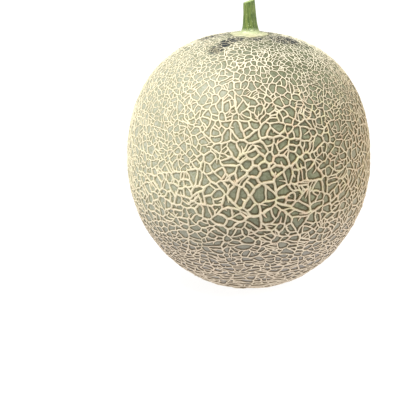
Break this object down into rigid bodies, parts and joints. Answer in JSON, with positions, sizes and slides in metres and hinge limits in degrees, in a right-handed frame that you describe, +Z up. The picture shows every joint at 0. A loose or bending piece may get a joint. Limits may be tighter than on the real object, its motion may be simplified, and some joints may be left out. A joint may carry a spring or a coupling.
{
  "type": "cantaloupe melon",
  "caption": "Whole round netted cantaloupe melon that rests on a small flat spot, with a short upright stump of cut stem on its crown.",
  "frame": {"origin": "the middle of the small flat spot that the melon rests on, at the height of the surface under it", "axes": "+Z is up, out of the crown through the stem. +X is to the right and -Y is towards a viewer who faces the melon's front"},
  "size_m": [0.1462, 0.1458, 0.1736],
  "materials": {
    "rind": "matte",
    "stem": "satin"
  },
  "bodies": {
    "root": {"melon": "rind", "stem": "stem"}
  },
  "joints": []
}
